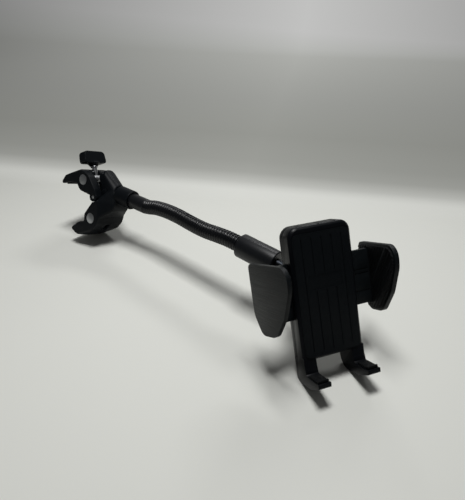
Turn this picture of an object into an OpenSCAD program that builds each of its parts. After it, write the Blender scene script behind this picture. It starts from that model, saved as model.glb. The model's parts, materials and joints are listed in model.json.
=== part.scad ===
// Handlebar phone holder: a leaning cradle with two geared side arms and two hooks,
// a ball joint, a flexible neck, and a screw clamp for a bar.
// The holder lies on a surface on its hooks and on the far claw of its clamp.

/* [Cradle] */
// Angle at which the phone's face leans back from the vertical
lean = 25.4; // [22:0.2:28]
// Width of the rubber face pad
pad_w = 50; // [46:1:52]
// Height of the rubber face pad
pad_h = 100; // [96:1:104]
// Thickness of the face pad
pad_t = 1.6; // [1.4:0.1:2]
// How far the pad stands out of the housing
pad_proud = 0.6; // [0.4:0.1:0.8]
// Rim of the housing on each side of the pad
side_rim = 2.5; // [2:0.1:3]
// Housing above the pad
top_rim = 6; // [5:0.5:8]
// Depth of the closed housing
housing_d = 20.9; // [20.5:0.1:22]
// Wall of the two housing shells
wall = 2; // [1.8:0.1:2.2]
// Radius of the housing's corners seen from the front
corner_r = 9; // [8:0.5:10]

/* [Hooks] */
// Width of each leg
leg_w = 11; // [9:0.5:12]
// Radius of the bend that a hook stands on
hook_r = 11; // [10.6:0.1:11.4]
// How far the hooks reach in front of the pad
hook_reach = 20.5; // [18:0.5:24]
// Depth of the hook's ledge below the pad
ledge_drop = 13.5; // [13:0.5:16]
// Thickness of a hook's rubber sole
sole_t = 1.6; // [1.2:0.1:2]

/* [Side arms] */
// Distance between the arms' fins at the pad's face
arm_span = 97.2; // [94:0.5:100]
// Angle by which the fins lean in towards the phone
toe_in = 6.8; // [5:0.2:8]
// Thickness of a fin
fin_t = 3.6; // [3:0.2:4]
// Thickness of a fin's rubber liner
liner_t = 1.6; // [1.2:0.1:2]
// Thickness of the sliding plate
plate_t = 3.5; // [3:0.1:3.6]
// Lower edge of the sliding plate
plate_z0 = 31; // [30:0.5:33]
// Upper edge of the sliding plate
plate_z1 = 77; // [75:0.5:80]
// Travel of each arm towards the middle
arm_in = 15; // [12:0.5:15]
// Travel of each arm outwards
arm_out = 6; // [4:0.5:6]

/* [Pinion] */
// Teeth of the pinion between the two racks
gear_teeth = 14; // [12:2:14]
// Tooth module
gear_module = 1; // [0.9:0.05:1]
// Radius of the pinion's axle
axle_r = 2; // [1.5:0.1:2.4]
// Width of the pinion and of both racks
gear_w = 3.8; // [3.4:0.1:4]

/* [Ball joint] */
// Radius of the ball
ball_r = 10; // [9:0.2:10.4]
// Height of the ball above the pad's lower edge
ball_z = 56; // [54:0.5:58]
// Distance of the ball's centre behind the housing's back
ball_back = 16.5; // [16:0.5:20]
// Radius of the socket cup
cup_r = 15; // [14.5:0.1:15.5]
// Outer radius of the ring nut
ring_r = 19.5; // [18.5:0.1:21]
// Flutes around the ring nut
ring_flutes = 16; // [10:1:20]
// Radius of the stud's thin neck
stud_r = 3.8; // [3:0.1:4]
// Radius of the stud's shank
shank_r = 5; // [4.4:0.1:5.6]

/* [Neck] */
// Angle between the neck and the direction behind the cradle
neck_yaw = 29.6; // [25:0.2:33]
// Rise of the collar towards the neck
neck_rise = 3.7; // [2:0.1:5]
// Radius of the collar
collar_r = 11.8; // [11:0.1:13]
// Distance from the ball's centre to the collar
collar_start = 30; // [29:0.5:32]
// Length of the collar
collar_l = 43; // [41:0.5:45]
// Radius of the flexible neck
goose_r = 7.5; // [7:0.1:8]
// Pitch of the neck's rings
ring_pitch = 2.4; // [2.2:0.1:3]
// Depth of the groove between two rings
ring_depth = 0.45; // [0.3:0.05:0.8]
// Radius of the smooth sleeve at the clamp
sleeve_r = 8.4; // [8:0.1:8.8]
// Visible length of the smooth sleeve
sleeve_l = 22; // [18:0.5:26]

/* [Clamp] */
// Width of the two jaws
jaw_w = 42; // [38:0.5:46]
// Half width of the middle lug
lug_y = 10.6; // [9.5:0.1:11]
// Radius of the hinge knuckles
knuckle_r = 5.4; // [5.2:0.1:5.8]
// Radius of the hinge pin
hinge_r = 2; // [1.5:0.1:2.4]
// Radius of the two barrel nuts
nut_r = 6; // [5.5:0.1:6.2]
// Distance of the barrel nuts from the hinge along the mouth
nut_x = 11; // [10.5:0.1:11.5]
// Distance of the barrel nuts from the mouth's middle line
nut_z = 23; // [22.5:0.1:23.5]
// Radius of the clamp screw
screw_r = 2.75; // [2:0.05:3]
// Length of the knob's wings from tip to tip
knob_l = 33; // [28:0.5:38]
// Thickness of the knob's wings
knob_t = 11; // [9:0.5:13]
// Thickness of the rubber in the claws
claw_pad_t = 1.5; // [1:0.1:1.6]
// Radius of the boss that holds the neck
boss_r = 11; // [10.5:0.1:12]

/* [Fits] */
// Radial clearance of a turning fit
fit = 0.05; // [0.03:0.01:0.08]
// Gap around a sliding part
slide_gap = 0.3; // [0.25:0.05:0.4]

/* [Hidden] */
$fn = 64;
arc_steps = 8;
eps = 0.01;

// Where the working origin, on the surface below the pad, lies in the part's own frame
origin = [164.25, 67.86, 0];

// Cradle: x out of the phone's face, y along its width, z up the face, pad face at x = 0
face_x = -pad_proud;
back_x = face_x - housing_d;
split_x = face_x - 11.4;
front_wall = pad_t - pad_proud + wall + 0.4;
housing_w = pad_w + 2 * side_rim;
housing_h = pad_h + top_rim;
front_round = 2.2;
back_round = 4.5;
leg_y0 = housing_w / 2 - leg_w;
cutout_z = -2;
ledge_x = 3.4;
hook_x = back_x + hook_r;
hook_z = -12.4;
hook_tip_t = 4.6;
pad_height = hook_r - (hook_x * sin(lean) + hook_z * cos(lean));
sole_lip = 1;

// Sliding plates run through windows in both shells
plate_x1 = -9.5;
plate_x0 = plate_x1 - plate_t;
plate_y0 = arm_in + axle_r + 0.7;
gear_x1 = plate_x0 - slide_gap - 0.2;
gear_x0 = gear_x1 - gear_w;
gear_z = (plate_z0 + plate_z1) / 2;
pitch_r = gear_teeth * gear_module / 2;
addendum = 0.85 * gear_module;
dedendum = 1.3 * gear_module;
backlash = 0.15;
pressure = 20;
rack_back = 4.5;
rack_end = 7.5;
tab_y = 8;
rack_y = 18.5;
fin_x0 = -28.5;
fin_x1 = 31.4;

// Ball joint: the socket opens backwards, along minus x of the cradle
ball_x = back_x - ball_back;
ball_fit = 0.1;
lip_angle = 69;
cup_rim = 0.2;
ring_front = 8;
ring_back = 6;
ring_chamfer = 1;

// Release button in the rear cover
button_z = 14;
button_w = 16;
button_h = 10;
button_proud = 2;
flange_t = 1.7;
spring_r = 2.6;
spring_wire = 0.45;
spring_turns = 5;

// Housing screws
cover_screw_y = housing_w / 2 - 9;
cover_screw_z = [9, housing_h - 10];
cover_screw_r = 1.2;
cover_head_r = 2.7;
cover_boss_r = 3.4;

// Neck route from the collar to the sleeve: distance from the ball, side, height above the ball
neck_route = [
    [90, 0, 5.3], [106, -0.3, 4.1], [122, -0.8, 2.6], [140, -1.5, 2.8],
    [160, -2.2, 4], [178, -2.7, 3.8], [196, -2.8, 1.9]
];
neck_end = [234.2, 0, -0.21];
goose_sides = 16;
goose_seat = 8;
collar_end = collar_start + collar_l;

// Clamp: x towards the mouth's opening, y along the hinge, z along the screw, hinge at 0, 0
clamp_turn = [22.5, 24, -135];
socket_x = -42;
socket_z = -13;
boss_dir = [-cos(29.2), 0, -sin(29.2)];
boss_seat = 14;
screw_top = 50;
screw_low = -31;
knob_z0 = 41.5;
knob_z1 = 57;
washer_z = 38;
washer_t = 1.2;
washer_r = 4.4;
shoulder_r = 3.1;
slot_play = 0.6;
upper_crown = 4.4;
lower_crown = 4.4;

// Turned vectors of the three frames
function turn_z(a, p) = [p[0] * cos(a) - p[1] * sin(a), p[0] * sin(a) + p[1] * cos(a), p[2]];
function turn_y(a, p) = [p[0] * cos(a) + p[2] * sin(a), p[1], -p[0] * sin(a) + p[2] * cos(a)];
function turn_x(a, p) = [p[0], p[1] * cos(a) - p[2] * sin(a), p[1] * sin(a) + p[2] * cos(a)];
function clamp_vector(p) = turn_z(clamp_turn[2], turn_y(clamp_turn[1], turn_x(clamp_turn[0], p)));
function neck_point(p) = ball_point + turn_z(180 + neck_yaw, p);
ball_point = origin + [0, 0, pad_height] + turn_y(-lean, [ball_x, 0, ball_z]);
socket_point = neck_point(neck_end);
sleeve_point = socket_point + sleeve_l * clamp_vector(boss_dir);
hinge_point = socket_point - clamp_vector([socket_x, 0, socket_z]);

// Rounded outline from corners given as x, y and radius
function unit(v) = v / norm(v);
function turn_between(a, b) = (b - a + 540) % 360 - 180;
function corner(p, q, s, r) =
    let(a = unit(p - q), b = unit(s - q), half = acos(a * b) / 2,
        centre = q + unit(a + b) * r / sin(half),
        first = q + a * r / tan(half) - centre, last = q + b * r / tan(half) - centre,
        a0 = atan2(first[1], first[0]), sweep = turn_between(a0, atan2(last[1], last[0])))
    [for (i = [0:arc_steps]) let(a = a0 + sweep * i / arc_steps) centre + r * [cos(a), sin(a)]];
function flat(p) = [p[0], p[1]];
function rounded(pts) = [
    for (i = [0:len(pts) - 1])
        let(p = pts[(i + len(pts) - 1) % len(pts)], q = pts[i], s = pts[(i + 1) % len(pts)])
        each (q[2] == 0 ? [flat(q)] : corner(flat(p), flat(q), flat(s), q[2]))
];
function rounded_box(y, z0, z1, r_low, r_high) =
    rounded([[-y, z0, r_low], [y, z0, r_low], [y, z1, r_high], [-y, z1, r_high]]);

// An outline in y and z, extruded along x
module front_plate(outline, x0, x1) {
    translate([x0, 0, 0]) rotate([90, 0, 90]) linear_extrude(x1 - x0) polygon(outline);
}

// An outline in x and z, extruded along y
module side_plate(outline, y0, y1) {
    translate([0, y1, 0]) rotate([90, 0, 0]) linear_extrude(y1 - y0) polygon(outline);
}

module block(low, high) {
    translate(low) cube(high - low);
}

module rod_x(r, x0, x1) {
    translate([x0, 0, 0]) rotate([0, 90, 0]) cylinder(r = r, h = x1 - x0);
}

module rod_y(r, y0, y1) {
    translate([0, y0, 0]) rotate([-90, 0, 0]) cylinder(r = r, h = y1 - y0);
}

module rod_z(r, z0, z1) {
    translate([0, 0, z0]) cylinder(r = r, h = z1 - z0);
}

module in_cradle() {
    translate(origin + [0, 0, pad_height]) rotate([0, -lean, 0]) children();
}

// Along x from the ball's centre towards the clamp
module in_neck() {
    translate(ball_point) rotate([0, 0, 180 + neck_yaw]) rotate([0, -neck_rise, 0]) children();
}

module in_clamp() {
    translate(hinge_point) rotate(clamp_turn) children();
}

// Along x from the neck's socket towards the cradle, with the clamp's own y
module in_boss() {
    translate([socket_x, 0, socket_z]) rotate([0, atan2(-boss_dir[2], boss_dir[0]), 0]) children();
}

// Face pad
groove_x = 0.6;
groove_w = 0.8;
groove_step = 8.8;
groove_end = 4;
panel_y = 14.5;
panel_z = [54, 66];
panel_depth = 0.3;

module pad_groove(y, z0, z1) {
    block([-groove_x, y - groove_w / 2, z0], [1, y + groove_w / 2, z1]);
}

module face_pad() {
    color([0.13, 0.14, 0.15]) in_cradle() difference() {
        front_plate(rounded_box(pad_w / 2, 0, pad_h, corner_r / 2, corner_r / 2), -pad_t, 0);
        for (i = [-2:2]) {
            if (abs(i * groove_step) > panel_y) pad_groove(i * groove_step, groove_end, pad_h - groove_end);
            else {
                pad_groove(i * groove_step, groove_end, panel_z[0] - groove_w);
                pad_groove(i * groove_step, panel_z[1] + groove_w, pad_h - groove_end);
            }
        }
        block([-panel_depth, -panel_y, panel_z[0]], [1, panel_y, panel_z[1]]);
    }
}

// Leg and hook seen from the side
tangent_a = -86.2;
leg_reach = 2 * hook_reach;
hook_outline = concat(
    [[face_x, 1], [face_x, -ledge_drop + ledge_x - face_x]],
    [for (i = [1:arc_steps]) let(a = 180 + 90 * i / arc_steps)
        [ledge_x, -ledge_drop + ledge_x - face_x] + (ledge_x - face_x) * [cos(a), sin(a)]],
    rounded([[hook_reach - 1.4, -ledge_drop, 0], [hook_reach, -ledge_drop + 0.6, 0.5],
        [hook_reach, -ledge_drop + 1 - hook_tip_t, 1.5], [6.7, -22.3, 0]]),
    [for (i = [0:arc_steps]) let(a = tangent_a - (180 + tangent_a) * i / arc_steps)
        [hook_x, hook_z] + hook_r * [cos(a), sin(a)]],
    [[back_x, cutout_z + 1]]
);

// The legs' outer back edges are rounded like those of the rear cover
module leg(y0) {
    half = housing_w / 2;
    difference() {
        intersection() {
            union() {
                side_plate(hook_outline, y0, y0 + leg_w);
                translate([hook_x, 0, hook_z]) rod_y(hook_r, y0, y0 + leg_w);
            }
            translate([0, 0, -leg_reach]) linear_extrude(2 * leg_reach) polygon(rounded([
                [back_x, -half, back_round], [leg_reach, -half, 0], [leg_reach, half, 0],
                [back_x, half, back_round]]));
        }
        block([back_x - 1, y0 - 1, cutout_z], [split_x, y0 + leg_w + 1, 2]);
    }
}

// Shallow marks across the housing's top
mark_y = [-17, 1, 15];
mark_w = 1;
mark_depth = 0.4;

// Inner outline of both shells, drawn in by a further inset
function cavity_outline(inset) = rounded_box(housing_w / 2 - wall - 0.5 - inset, wall + 1,
    housing_h - wall - 1 - inset, 2, corner_r - wall - inset / 4);

module plate_window() {
    block([plate_x0 - slide_gap, -housing_w, plate_z0 - slide_gap],
        [plate_x1 + slide_gap, housing_w, plate_z1 + slide_gap]);
}

module front_housing() {
    inset = front_round;
    half = housing_w / 2;
    color([0.11, 0.12, 0.13]) in_cradle() difference() {
        union() {
            hull() {
                front_plate(rounded_box(half - inset, cutout_z + inset, housing_h - inset, 1,
                    corner_r - inset), face_x - 0.3, face_x);
                front_plate(rounded_box(half - inset / 3, cutout_z, housing_h - inset / 3, 1,
                    corner_r - inset / 3), face_x - inset / 2 - 0.1, face_x - inset / 2);
                front_plate(rounded_box(half, cutout_z, housing_h, 1, corner_r), face_x - inset - 0.2,
                    face_x - inset);
            }
            front_plate(rounded_box(half, cutout_z, housing_h, 1, corner_r), split_x, face_x - inset);
            leg(leg_y0);
            leg(-leg_y0 - leg_w);
        }
        front_plate(rounded_box(pad_w / 2 + fit, -fit, pad_h + fit, corner_r / 2, corner_r / 2), -pad_t, 1);
        difference() {
            front_plate(cavity_outline(0), split_x - 1, face_x - front_wall);
            for (s = [-1, 1], z = cover_screw_z)
                translate([0, s * cover_screw_y, z]) rod_x(cover_boss_r, split_x - 2, 0);
            translate([0, 0, gear_z]) rod_x(axle_r + 1.2, split_x - 2, 0);
        }
        plate_window();
        for (s = [-1, 1], z = cover_screw_z)
            translate([0, s * cover_screw_y, z])
                rod_x(cover_screw_r + fit, split_x - 2, face_x - front_wall);
        translate([0, 0, gear_z]) rod_x(axle_r + fit, split_x - 2, face_x - front_wall);
        for (y = mark_y) block([split_x + 1, y - mark_w / 2, housing_h - mark_depth],
            [face_x - front_round / 2, y + mark_w / 2, housing_h + 1]);
    }
}

module rear_cover() {
    half = housing_w / 2;
    low = cutout_z + 0.1;
    deep = back_round;
    color([0.11, 0.12, 0.13]) in_cradle() difference() {
        union() {
            hull() {
                front_plate(rounded_box(half, low, housing_h, 1, corner_r), back_x + deep, split_x);
                front_plate(rounded_box(half - deep * 0.13, low, housing_h - deep * 0.13, 1, corner_r),
                    back_x + deep / 2, split_x);
                front_plate(rounded_box(half - deep * 0.5, low, housing_h - deep * 0.5, 1, corner_r - 1.5),
                    back_x + deep * 0.13, split_x);
                front_plate(rounded_box(half - deep, low, housing_h - deep, 1, corner_r - 3), back_x,
                    split_x);
            }
            translate([0, 0, ball_z]) {
                rod_x(cup_r, ball_x + cup_rim, back_x + 1);
                translate([back_x, 0, 0]) rotate([0, -90, 0])
                    cylinder(r1 = cup_r + 3.5, r2 = cup_r, h = 4.5);
            }
        }
        difference() {
            union() {
                front_plate(cavity_outline(0), gear_x0 - slide_gap, split_x + 1);
                front_plate(cavity_outline(back_round - 0.5), back_x + wall, gear_x0);
            }
            for (s = [-1, 1], z = cover_screw_z)
                translate([0, s * cover_screw_y, z]) rod_x(cover_boss_r, back_x, 0);
        }
        plate_window();
        for (s = [-1, 1], z = cover_screw_z) translate([0, s * cover_screw_y, z]) {
            rod_x(cover_screw_r + fit, back_x - 1, split_x + 1);
            rod_x(cover_head_r + 2 * fit, back_x - 1, back_x + 3);
        }
        translate([0, 0, gear_z]) rod_x(axle_r, back_x + 0.6, split_x + 1);
        translate([ball_x, 0, ball_z]) sphere(r = ball_r + ball_fit);
        block([back_x - 1, -button_w / 2 - slide_gap, button_z - button_h / 2 - slide_gap],
            [split_x, button_w / 2 + slide_gap, button_z + button_h / 2 + slide_gap]);
    }
}

module hook_sole(side) {
    y0 = side > 0 ? leg_y0 : -leg_y0 - leg_w;
    color([0.09, 0.09, 0.1]) in_cradle() side_plate(
        rounded([[ledge_x + 0.8, -ledge_drop, 0], [hook_reach - 1.5, -ledge_drop, 0],
            [hook_reach - 1.5, -ledge_drop + sole_t + sole_lip, 0.4],
            [hook_reach - 3, -ledge_drop + sole_t + sole_lip, 0.4],
            [hook_reach - 3.6, -ledge_drop + sole_t, 0], [ledge_x + 0.8, -ledge_drop + sole_t, 0.6]]),
        y0 + 1, y0 + leg_w - 1);
}

module left_hook_sole() {
    hook_sole(-1);
}

module right_hook_sole() {
    hook_sole(1);
}

// Side arms, drawn for the right side and mirrored for the left
fin_outline = [
    [fin_x0, 38, 14], [fin_x0 + 0.3, 80.6, 5], [fin_x1, 83.2, 10], [fin_x1, 66, 20], [20.5, 44, 25],
    [4, 25, 14], [-18, 22, 9]
];
liner_outline = [
    [fin_x0 + 2, 39, 12], [fin_x0 + 2.3, 78.6, 3.5], [fin_x1 - 2, 81.1, 8.5], [fin_x1 - 2, 66.4, 18],
    [18.8, 45.2, 23], [3, 27.2, 12], [-17, 24.1, 7]
];
fin_y = arm_span / 2;
liner_rib = 0.4;
liner_rib_step = 4;
liner_rib_turn = 40;

module in_fin(side) {
    mirror([0, side > 0 ? 0 : 1, 0]) translate([0, fin_y, 0]) rotate([0, 0, -toe_in]) children();
}

// Rack of the upper or the lower side, with its teeth centred between those of the pinion
module rack(above) {
    tooth = PI * gear_module;
    count = floor((rack_end + rack_y) / tooth);
    first = ceil(-rack_end / tooth - 0.5);
    half = tooth / 4 - backlash / 2;
    slope = tan(pressure);
    root = [half + dedendum * slope, half - addendum * slope];
    translate([0, 0, gear_z]) mirror([0, 0, above ? 0 : 1]) {
        block([gear_x0, -rack_end, pitch_r + dedendum - eps], [gear_x1, rack_y, pitch_r + rack_back]);
        for (i = [first:count + first - 1]) let(y = (i + 0.5) * tooth)
            front_plate([[y - root[0], pitch_r + dedendum], [y + root[0], pitch_r + dedendum],
                [y + root[1], pitch_r - addendum], [y - root[1], pitch_r - addendum]], gear_x0, gear_x1);
        block([gear_x0, tab_y, pitch_r + dedendum], [plate_x1, rack_y, pitch_r + rack_back]);
    }
}

rail_depth = 0.5;
rail_w = 1;

// Notch in the plate's inner end, for the tab of the other arm's rack
module tab_notch(side) {
    depth = 2 * arm_in - tab_y - plate_y0 + 2 * slide_gap;
    translate([0, 0, gear_z]) mirror([0, 0, side < 0 ? 1 : 0])
        block([plate_x0 - 1, plate_y0 - 1, pitch_r + dedendum - slide_gap],
            [plate_x1 + 1, plate_y0 + depth, pitch_r + rack_back + slide_gap]);
}

module arm(side) {
    color([0.12, 0.13, 0.14]) in_cradle() {
        mirror([0, side > 0 ? 0 : 1, 0]) {
            rack(side < 0);
            difference() {
                block([plate_x0, plate_y0, plate_z0], [plate_x1, fin_y + 1, plate_z1]);
                tab_notch(side);
                for (z = [42, 57, 60.5])
                    block([plate_x1 - rail_depth, plate_y0 - 1, z - rail_w / 2],
                        [plate_x1 + 1, fin_y - fin_t, z + rail_w / 2]);
            }
        }
        in_fin(side) side_plate(rounded(fin_outline), -fin_t / 2, fin_t / 2);
    }
}

module left_arm() {
    arm(-1);
}

module right_arm() {
    arm(1);
}

module arm_liner(side) {
    inner = -fin_t / 2;
    color([0.08, 0.08, 0.09]) in_cradle() in_fin(side) difference() {
        side_plate(rounded(liner_outline), inner - liner_t, inner);
        block([plate_x0 - 1, inner - liner_t - 1, plate_z0 - 1], [plate_x1 + 1, inner + 1, plate_z1 + 1]);
        for (i = [-16:20]) translate([i * liner_rib_step, inner - liner_t, gear_z])
            rotate([0, liner_rib_turn, 0]) block([-0.5, -liner_rib, -90], [0.5, liner_rib, 90]);
    }
}

module left_arm_liner() {
    arm_liner(-1);
}

module right_arm_liner() {
    arm_liner(1);
}

// Involute pinion with a tooth centred straight up
base_r = pitch_r * cos(pressure);
tip_r = pitch_r + addendum;
root_r = pitch_r - dedendum;
flank_steps = 5;
function inv(a) = tan(a) - a * PI / 180;
tooth_half = (PI * gear_module / 4 - backlash / 2) / pitch_r + inv(pressure);
function flank(r) = (tooth_half - inv(acos(min(1, base_r / r)))) * 180 / PI;
function polar(r, a) = r * [sin(a), cos(a)];
flank_radii = [for (i = [0:flank_steps]) base_r + (tip_r - base_r) * i / flank_steps];
tooth_points = concat(
    [polar(root_r, -flank(base_r))],
    [for (r = flank_radii) polar(r, -flank(r))],
    [for (i = [flank_steps:-1:0]) polar(flank_radii[i], flank(flank_radii[i]))],
    [polar(root_r, flank(base_r))]
);
function turned(p, a) = [p[0] * cos(a) + p[1] * sin(a), p[1] * cos(a) - p[0] * sin(a)];

module pinion_gear() {
    color([0.85, 0.84, 0.8]) in_cradle() translate([0, 0, gear_z]) difference() {
        front_plate([for (i = [0:gear_teeth - 1], p = tooth_points) turned(p, i * 360 / gear_teeth)],
            gear_x0, gear_x1);
        rod_x(axle_r + fit, gear_x0 - 1, gear_x1 + 1);
    }
}

module gear_axle() {
    color([0.75, 0.76, 0.78]) in_cradle() translate([0, 0, gear_z])
        rod_x(axle_r, back_x + 0.6, face_x - front_wall - 1);
}

latch_w = 5;
latch_t = 1.6;
flange_x = back_x + wall + 0.2;

module release_button() {
    rack_low = gear_z - pitch_r - rack_back;
    color([0.14, 0.15, 0.16]) in_cradle() {
        translate([0, 0, button_z])
            front_plate(rounded_box(button_w / 2, -button_h / 2, button_h / 2, 3, 3),
                back_x - button_proud, flange_x + flange_t);
        block([flange_x, -button_w / 2 - 1.5, button_z - button_h / 2 - 1.5],
            [flange_x + flange_t, button_w / 2 + 1.5, button_z + button_h / 2 + 1.5]);
        block([flange_x, -latch_w / 2, button_z], [flange_x + latch_t, latch_w / 2, rack_low - slide_gap]);
    }
}

// Round wire wound along x
function coil_point(t, r, x0, x1, turns) =
    [x0 + (x1 - x0) * t, r * cos(360 * turns * t), r * sin(360 * turns * t)];
coil_sides = 8;
coil_steps = 18;

// Closed tube through points with one radius for each of them; up is any vector across the tube
module tube(path, radii, first_dir, last_dir, sides) {
    n = len(path);
    along = [for (i = [0:n - 1])
        i == 0 ? first_dir : i == n - 1 ? last_dir : unit(path[i + 1] - path[i - 1])];
    across = [for (d = along) unit(cross(abs(d[2]) > 0.8 ? [1, 0, 0] : [0, 0, 1], d))];
    points = [
        for (i = [0:n - 1], k = [0:sides - 1]) let(a = 360 * k / sides, up = cross(along[i], across[i]))
            path[i] + radii[i] * (cos(a) * across[i] + sin(a) * up)
    ];
    sides_faces = [
        for (i = [0:n - 2], k = [0:sides - 1], h = [0, 1])
            let(a = i * sides + k, b = i * sides + (k + 1) % sides)
            h == 0 ? [a, a + sides, b] : [b, a + sides, b + sides]
    ];
    polyhedron(points, concat(sides_faces, [[for (k = [0:sides - 1]) k]],
        [[for (k = [sides - 1:-1:0]) (n - 1) * sides + k]]));
}

module button_spring() {
    x0 = flange_x + flange_t + spring_wire + fit;
    x1 = face_x - front_wall - spring_wire - fit;
    steps = coil_steps * spring_turns;
    path = [for (i = [0:steps]) coil_point(i / steps, spring_r, x0, x1, spring_turns)];
    color([0.7, 0.71, 0.73]) in_cradle() translate([0, 0, button_z])
        tube(path, [for (p = path) spring_wire], unit(path[1] - path[0]),
            unit(path[steps] - path[steps - 1]), coil_sides);
}

module cover_screws() {
    color([0.6, 0.61, 0.63]) in_cradle() for (s = [-1, 1], z = cover_screw_z)
        translate([0, s * cover_screw_y, z]) difference() {
            union() {
                rod_x(cover_head_r, back_x + 0.8, back_x + 3);
                rod_x(cover_screw_r, back_x + 2, face_x - front_wall - 1);
            }
            for (a = [0, 90]) rotate([a, 0, 0]) block([back_x, -0.4, -1.8], [back_x + 1.8, 0.4, 1.8]);
        }
}

// Ring nut: opens backwards with a lip that holds the ball
module ring_nut() {
    r_in = ball_r + ball_fit;
    lip = r_in * cos(lip_angle);
    flare = r_in * sin(lip_angle) + (ring_back - lip) * tan(lip_angle);
    color([0.12, 0.13, 0.14]) in_cradle() translate([ball_x, 0, ball_z]) rotate([0, -90, 0]) difference() {
        rotate_extrude() polygon([[0, -ring_front], [ring_r - ring_chamfer, -ring_front],
            [ring_r, ring_chamfer - ring_front], [ring_r, ring_back - ring_chamfer],
            [ring_r - ring_chamfer, ring_back], [0, ring_back]]);
        rod_z(cup_r + fit, -ring_front - 1, 0);
        sphere(r = r_in);
        translate([0, 0, lip]) cylinder(r1 = r_in * sin(lip_angle), r2 = flare, h = ring_back - lip + eps);
        for (i = [0:ring_flutes - 1]) rotate([0, 0, 360 * i / ring_flutes])
            translate([ring_r + 1.6, 0, 0]) rod_z(2.4, -ring_front - 1, ring_back + 1);
    }
}

stud_neck = 19;
stud_cone = 2;
shank_end = collar_start + 31;

module ball_stud() {
    color([0.72, 0.73, 0.75]) in_neck() {
        sphere(r = ball_r);
        rod_x(stud_r, 0, stud_neck + stud_cone);
        translate([stud_neck, 0, 0]) rotate([0, 90, 0]) cylinder(r1 = stud_r, r2 = shank_r, h = stud_cone);
        rod_x(shank_r, stud_neck + stud_cone, shank_end);
    }
}

collar_chamfer = 1.4;
set_screw_r = 2;
collar_screw_x = collar_start + 16;

module neck_collar() {
    color([0.12, 0.13, 0.14]) in_neck() difference() {
        rotate([0, 90, 0]) rotate_extrude() polygon([[0, collar_start], [collar_r - 0.8, collar_start],
            [collar_r, collar_start + 0.8], [collar_r, collar_end - collar_chamfer],
            [collar_r - collar_chamfer, collar_end], [0, collar_end]]);
        rod_x(shank_r + fit, collar_start - 1, shank_end + 0.3);
        rod_x(goose_r + 2 * fit, collar_end - goose_seat - 0.3, collar_end + 1);
        translate([collar_screw_x, 0, 0]) rod_z(set_screw_r + fit, -collar_r - 1, -shank_r + 1);
    }
}

module set_screw(r, l, key) {
    difference() {
        rod_z(r, 0, l);
        translate([0, 0, -eps]) cylinder(r = key, h = 2, $fn = 6);
    }
}

module collar_set_screw() {
    color([0.5, 0.5, 0.52]) in_neck() translate([collar_screw_x, 0, -collar_r + 0.5])
        set_screw(set_screw_r, collar_r - shank_r - 0.5 - 2 * fit, 1.1);
}

// Smooth curve through the route's points
function curve_at(a, b, c, d, t) = 0.5 * (2 * b + (c - a) * t + (2 * a - 5 * b + 4 * c - d) * t * t
    + (3 * b - a - 3 * c + d) * t * t * t);
collar_dir = neck_point([cos(neck_rise), 0, sin(neck_rise)]) - ball_point;
seat_points = [for (d = [collar_end - goose_seat, collar_end + 1]) ball_point + d * collar_dir];
sleeve_dir = -clamp_vector(boss_dir);
goose_knots = concat(seat_points, [for (p = neck_route) neck_point(p)],
    [sleeve_point - (4 * fit) * sleeve_dir]);
goose_before = seat_points[0] - 6 * collar_dir;
goose_after = sleeve_point + 16 * sleeve_dir;
goose_line = concat([goose_before], goose_knots, [goose_after]);
half_pitch = ring_pitch / 2;
function span_steps(i) = max(1, round(norm(goose_line[i + 1] - goose_line[i]) / half_pitch));
goose_path = concat(
    [for (i = [1:len(goose_knots) - 1], k = [0:span_steps(i) - 1])
        curve_at(goose_line[i - 1], goose_line[i], goose_line[i + 1], goose_line[i + 2],
            k / span_steps(i))],
    [goose_knots[len(goose_knots) - 1]]
);

module gooseneck() {
    radii = [for (i = [0:len(goose_path) - 1]) goose_r - (i % 2 == 0 ? ring_depth : 0)];
    color([0.1, 0.1, 0.11]) tube(goose_path, radii, collar_dir, sleeve_dir, goose_sides);
}

// Sleeve that is pushed into the clamp's boss
module neck_sleeve() {
    color([0.12, 0.13, 0.14]) in_clamp() in_boss() rotate([0, 90, 0]) rotate_extrude()
        polygon([[0, -boss_seat], [sleeve_r, -boss_seat], [sleeve_r, sleeve_l - 0.6],
            [sleeve_r - 0.6, sleeve_l], [0, sleeve_l]]);
}

sleeve_screw_x = -7;

module sleeve_set_screw() {
    color([0.5, 0.5, 0.52]) in_clamp() in_boss() translate([sleeve_screw_x, 0, 0]) rotate([180, 0, 0])
        translate([0, 0, -boss_r + 0.4]) set_screw(set_screw_r, boss_r - 0.4 - sleeve_r - fit, 1.1);
}

// Clamp jaws: the hinge is at 0, 0 and the mouth opens along x
mouth_in = 19.5;
upper_top = 34.8;
lower_top = 37;
upper_outline = [
    [-5.2, 1.5, 0], [-5.2, 8, 6], [0.2, 25, 10], [7, 32, 8], [14, 36.2, 8],
    [28, upper_top + upper_crown, 10], [39.5, 35, 8], [48, 29.6, 2.4], [47.4, 26.6, 1],
    [34, 25.3, 10], [22.4, 21.3, 5], [19.6, 12.4, 6],
    [1.6, 1.5, 0]
];
lower_outline = [
    [2, -5, 0], [mouth_in, -15.8, 6], [22.7, -25.8, 6], [33.5, -24.4, 6], [42.5, -25.6, 4],
    [48, -28.6, 2.2], [39, -37.6, 4], [30, -lower_top - lower_crown, 8], [12, -37, 10],
    [3.4, -32.6, 8], [-2, -25.6, 8],
    [-5.4, -16, 8], [-6.2, -5, 0]
];
knuckle_gap = slide_gap;
lug_front = 5;
nut_slot_x = screw_r + slot_play + 2.4;
shoulder_slot_x = shoulder_r + slot_play + 2;

// The jaws' outer faces are crowned: highest in the middle of their width
module crowned(top, rise, side) {
    r = (jaw_w * jaw_w / 4 + rise * rise) / (2 * rise);
    intersection() {
        children();
        translate([0, 0, side * (top + rise - r)]) rod_x(r, -60, 60, $fn = 128);
    }
}

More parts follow.
